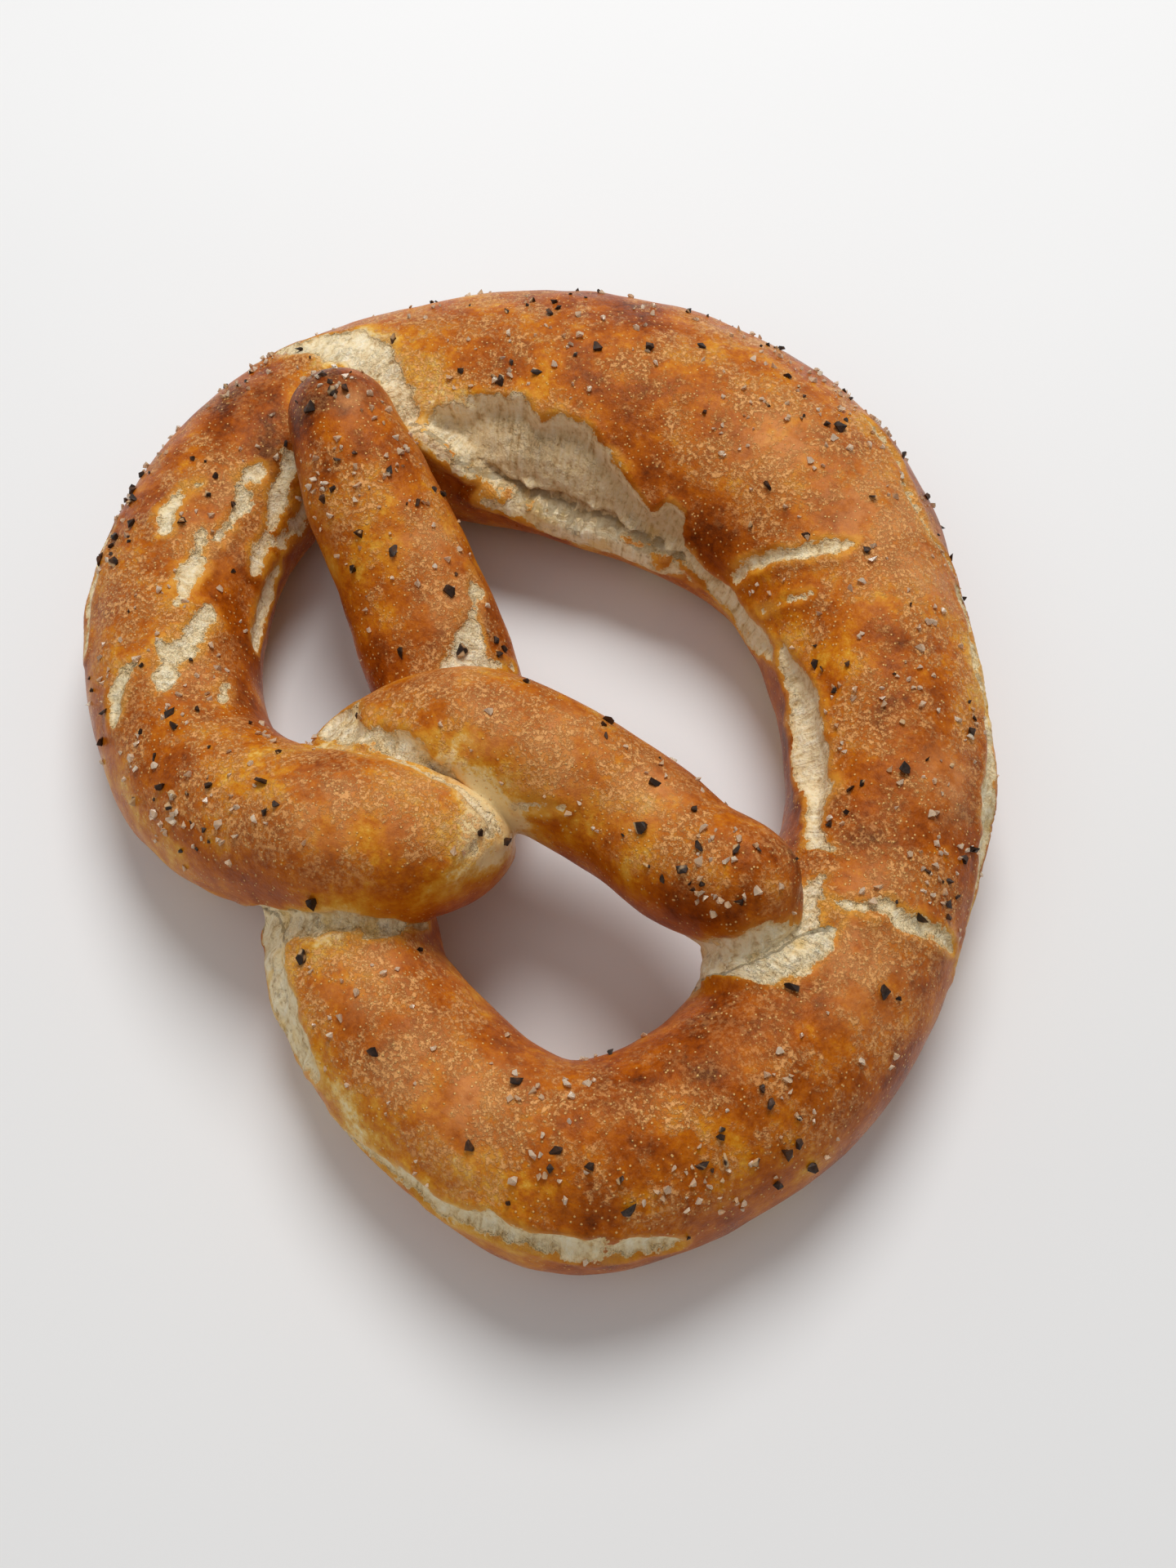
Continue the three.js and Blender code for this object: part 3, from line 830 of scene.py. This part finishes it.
def crust_material():
    """Crust and crumb in one: the tear attribute is a point's distance outside the nearest tear."""
    n = Nodes("crust")
    tear = n.attribute("tear")
    # the edge wanders in fine jags and wider bays
    jag = n.wobble(1.5 * MM, 4, 0.65, 2.4)
    bay = n.wobble(3.6 * MM, 4, 0.6, 3.6)
    edge = n.math("ADD", n.math("ADD", tear, jag), bay)
    crumb = n.span(edge, 0.1, -0.1)
    crust_shade, raised = crust_colour(n, n.span(edge, 2.0, 0.0))
    crumb_shade, fibres, pore = crumb_colour(n, tear, edge)
    n.plug(n.shader.inputs["Base Color"], n.mix(crumb, crust_shade, crumb_shade))
    gloss = n.span(n.noise(5 * MM, 4, 0.6), 0.3, 0.7, 0.26, 0.42)
    roughness = n.math("ADD", gloss, n.math("MULTIPLY", crumb, 0.5), clamp=True)
    n.plug(n.shader.inputs["Roughness"], roughness)
    n.shader.inputs["Specular IOR Level"].default_value = 0.17
    n.shader.inputs["Specular Tint"].default_value = (1, 0.68, 0.4, 1)
    n.shader.inputs["Subsurface Weight"].default_value = 0.05
    n.shader.inputs["Subsurface Radius"].default_value = (1.0, 0.5, 0.25)
    n.shader.inputs["Subsurface Scale"].default_value = 1.5 * MM
    n.plug(n.shader.inputs["Normal"], dough_relief(n, crumb, edge, raised, fibres, pore))
    return n.material


def pepper_material():
    n = Nodes("pepper")
    shade = n.ramp(n.noise(1.5 * MM, 3, 0.6), *PEPPER_TONES)
    heart = n.span(n.noise(3.4 * MM, 1, 0.4), 0.6, 0.64)
    n.plug(n.shader.inputs["Base Color"], n.mix(heart, shade, PEPPER_HEART))
    n.plug(n.shader.inputs["Roughness"], n.span(n.noise(1 * MM, 2), 0.3, 0.7, 0.42, 0.7))
    n.shader.inputs["Specular IOR Level"].default_value = 0.3
    n.plug(n.shader.inputs["Normal"], n.bump(n.noise(0.5 * MM, 3, 0.6), 0.12 * MM, 0.8))
    return n.material


def salt_material():
    n = Nodes("salt")
    n.plug(n.shader.inputs["Base Color"], n.ramp(n.noise(4 * MM, 2, 0.5), *SALT_TONES))
    n.plug(n.shader.inputs["Roughness"], n.span(n.noise(0.8 * MM, 2), 0.3, 0.7, 0.1, 0.32))
    n.plug(n.shader.inputs["Normal"], n.bump(n.noise(0.5 * MM, 3, 0.6), 0.06 * MM, 0.7))
    n.shader.inputs["Transmission Weight"].default_value = 0.45
    n.shader.inputs["IOR"].default_value = 1.5
    return n.material


def floor_material():
    n = Nodes("studio_floor")
    n.plug(n.shader.inputs["Base Color"], n.ramp(n.noise(0.2, 2), *FLOOR_TONES))
    n.shader.inputs["Roughness"].default_value = 0.9
    return n.material


# ---------------------------------------------------------------- the topping
# Per kind: the seed of its random draws, how many finer grains are scattered, the full size, the smallest
# share of it, the share of a grain's height under the crust, and the size of the clumps.
GRAINS = {
    "pepper": dict(seed=6200, scatter=200, size=(3.1, 2.5, 1.8), smallest=0.4, sunk=0.22, clumps=8),
    "salt": dict(seed=4640, scatter=640, size=(2.2, 2, 1.8), smallest=0.45, sunk=0.3, clumps=6),
}
SHAPES_OF_A_KIND = 14
HULL_CORNERS = 9
HULL_RADII = (0.36, 0.5)
COARSE_SHARES = (0.85, 1.05)
LARGEST_SHARE = 0.9
SHARE_POWER = 1.3  # above 1, so that small grains outnumber large ones
STRETCHES = (0.85, 1.15)
TIPPING = 0.3
CLUMP_SEED = 71
# Where the topping lies thick: (rope, place, turn, radius in millimetres).
THICK = [
    (ARM, 0.5, 75, 7), (ARM, 0.9, 95, 8), (ARM, 2, 80, 13), (REST, 34.8, 80, 9), (REST, 3.4, 110, 12),
    (REST, 5, 110, 12), (REST, 7.2, 120, 14), (REST, 9, 120, 10), (REST, 11.8, 85, 13), (REST, 14, 118, 16),
    (REST, 17.2, 95, 14), (REST, 18.2, 120, 10), (REST, 21, 130, 12), (REST, 23, 95, 12),
    (REST, 25, 110, 9), (REST, 33, 90, 8),
]
# Where it lies thin.
THIN = [
    (REST, 1.1, 80, 17), (REST, 24.6, 50, 13), (REST, 20.8, 50, 11), (REST, 13, 55, 11), (REST, 31.5, 50, 12),
    (REST, 26.6, 80, 9), (REST, 10, 92, 10), (REST, 8.6, 95, 7), (REST, 19.6, 60, 9),
]


def hull(rng):
    """Points and triangles of the hull of a few random points in a ball 1 across."""
    made = bmesh.new()
    for spot in unit(rng.normal(size=(HULL_CORNERS, 3))) * rng.uniform(*HULL_RADII, (HULL_CORNERS, 1)):
        made.verts.new(spot)
    result = bmesh.ops.convex_hull(made, input=made.verts)
    bmesh.ops.delete(made, geom=result["geom_interior"], context="VERTS")
    made.verts.index_update()
    points = np.array([v.co[:] for v in made.verts])
    faces = [[v.index for v in face.verts] for face in made.faces]
    made.free()
    return points, faces


def scattered(rng, points, normals, tear, kind):
    """Numbers of the crust points that finer grains fall on: few on sides and crumb, and more in clumps."""
    liking = step(0.12, 0.6, normals[:, 2]) * (0.06 + step(-0.4, 1.2, tear))
    liking *= 0.35 + 1.5 * nearness(points, THICK)
    liking *= 1 - 0.88 * nearness(points, THIN)
    liking *= 0.15 + step(-0.1, 0.55, noise(points, GRAINS[kind]["clumps"], CLUMP_SEED)) * 2
    return rng.choice(len(points), GRAINS[kind]["scatter"], replace=False, p=liking / liking.sum())


def grain_seats(rng, kind, coarse, dough):
    """Point, outward direction and share of the full size for each grain, in millimetres."""
    crust = BVHTree.FromObject(dough, bpy.context.evaluated_depsgraph_get())
    seats = []
    for node in coarse:
        low, high = (Vector(corner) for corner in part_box(node))
        seat, out, _, _ = crust.find_nearest((low + high) / 2)
        seats.append((np.array(seat) / MM, np.array(out), rng.uniform(*COARSE_SHARES)))
    points, normals = read_points(dough.data) / MM, read_normals(dough.data)
    tear = np.empty(len(points), np.float32)
    dough.data.attributes["tear"].data.foreach_get("value", tear)
    for number in scattered(rng, points, normals, tear, kind):
        share = rng.uniform(GRAINS[kind]["smallest"], LARGEST_SHARE) ** SHARE_POWER
        seats.append((points[number], normals[number], share))
    return seats


def placed_grain(rng, shape, kind, seat, out, share):
    """A shape's points turned and stretched at random, and sunk a little into the crust at its seat."""
    tip = Vector(unit(out + rng.normal(0, TIPPING, 3)))
    spin = Matrix.Rotation(rng.uniform(0, math.tau), 3, "Z")
    turned = tip.to_track_quat("Z", "Y").to_matrix() @ spin
    stretch = np.array(GRAINS[kind]["size"]) * share * rng.uniform(*STRETCHES, 3)
    placed = (shape * stretch) @ np.array(turned).T
    lowest, highest = (placed @ out).min(), (placed @ out).max()
    return placed + (seat - out * (lowest + GRAINS[kind]["sunk"] * (highest - lowest)))


def grain_piece(kind, dough, material):
    """One piece of all the grains of a kind: coarse ones where the frame has them, and finer ones."""
    rng = np.random.default_rng(GRAINS[kind]["seed"])
    coarse = [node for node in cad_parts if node.startswith(kind)]
    seats = grain_seats(rng, kind, coarse, dough)
    shapes = [hull(rng) for _ in range(SHAPES_OF_A_KIND)]
    all_points, all_faces, total = [], [], 0
    for seat, out, share in seats:
        shape, faces = shapes[rng.integers(SHAPES_OF_A_KIND)]
        all_points.append(placed_grain(rng, shape, kind, seat, out, share) * MM)
        all_faces += [[i + total for i in face] for face in faces]
        total += len(shape)
    name = f"{kind}_grains"
    made = new_object(name, mesh_from(name, np.concatenate(all_points), all_faces))
    made.data.materials.append(material)
    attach(made, "root")
    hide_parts(*coarse)


def make_topping(dough):
    grain_piece("pepper", dough, pepper_material())
    grain_piece("salt", dough, salt_material())


# ---------------------------------------------------------------- studio
VIEW_TURN = 42  # degrees that the camera stands round from the front
VIEW_LIFT = 62
VIEW_DISTANCE = 0.252
LOOK_AT = Vector((18.1, -10.7, 12)) * MM
LENS = 35
SENSOR_HEIGHT = 36
NEAREST_SEEN = 0.01
FLOOR_HALF = 2
WORLD_COLOUR = (1, 0.99, 0.97, 1)
WORLD_STRENGTH = 0.27
# Lamps as (name, turn from the camera's side, lift, distance, size, watts).
LAMPS = [
    ("window", 172, 60, 0.9, 0.5, 5.9),
    ("fill", -40, 58, 1.0, 0.9, 1.15),
]
LAMP_AIM = (0, 0, 0.01)


def towards(location, target):
    """The rotation that points a camera or a lamp from location at target."""
    return (Vector(target) - Vector(location)).to_track_quat("-Z", "Y")


def around(turn, lift, distance, target=(0, 0, 0)):
    """A point seen from target at a turn from the camera's side and a lift, in degrees."""
    a, e = math.radians(VIEW_TURN + turn), math.radians(lift)
    offset = Vector((math.sin(a) * math.cos(e), -math.cos(a) * math.cos(e), math.sin(e))) * distance
    return Vector(target) + offset


def make_camera():
    camera = bpy.data.cameras.new("camera")
    camera.lens = LENS
    camera.sensor_fit = "VERTICAL"
    camera.sensor_height = SENSOR_HEIGHT
    camera.clip_start = NEAREST_SEEN
    made = new_object("camera", camera)
    made.location = around(0, VIEW_LIFT, VIEW_DISTANCE, LOOK_AT)
    made.rotation_mode = "QUATERNION"
    made.rotation_quaternion = towards(made.location, LOOK_AT)
    bpy.context.scene.camera = made


def make_lamp(name, turn, lift, distance, size, watts):
    lamp = bpy.data.lights.new(name, "AREA")
    lamp.shape = "DISK"
    lamp.size = size
    lamp.energy = watts
    made = new_object(name, lamp)
    made.location = around(turn, lift, distance)
    made.rotation_mode = "QUATERNION"
    made.rotation_quaternion = towards(made.location, LAMP_AIM)


def make_floor():
    h = FLOOR_HALF
    corners = [(-h, -h, 0), (h, -h, 0), (h, h, 0), (-h, h, 0)]
    floor = new_object("floor", mesh_from("floor", corners, [(0, 1, 2, 3)]))
    floor.data.materials.append(floor_material())


def make_studio():
    make_floor()
    world = bpy.data.worlds.new("studio")
    world.use_nodes = True
    background = world.node_tree.nodes["Background"]
    background.inputs["Color"].default_value = WORLD_COLOUR
    background.inputs["Strength"].default_value = WORLD_STRENGTH
    bpy.context.scene.world = world
    for lamp in LAMPS:
        make_lamp(*lamp)
    bpy.context.scene.view_settings.view_transform = "Standard"


# ---------------------------------------------------------------- the scene
make_camera()
make_topping(make_dough())
make_studio()
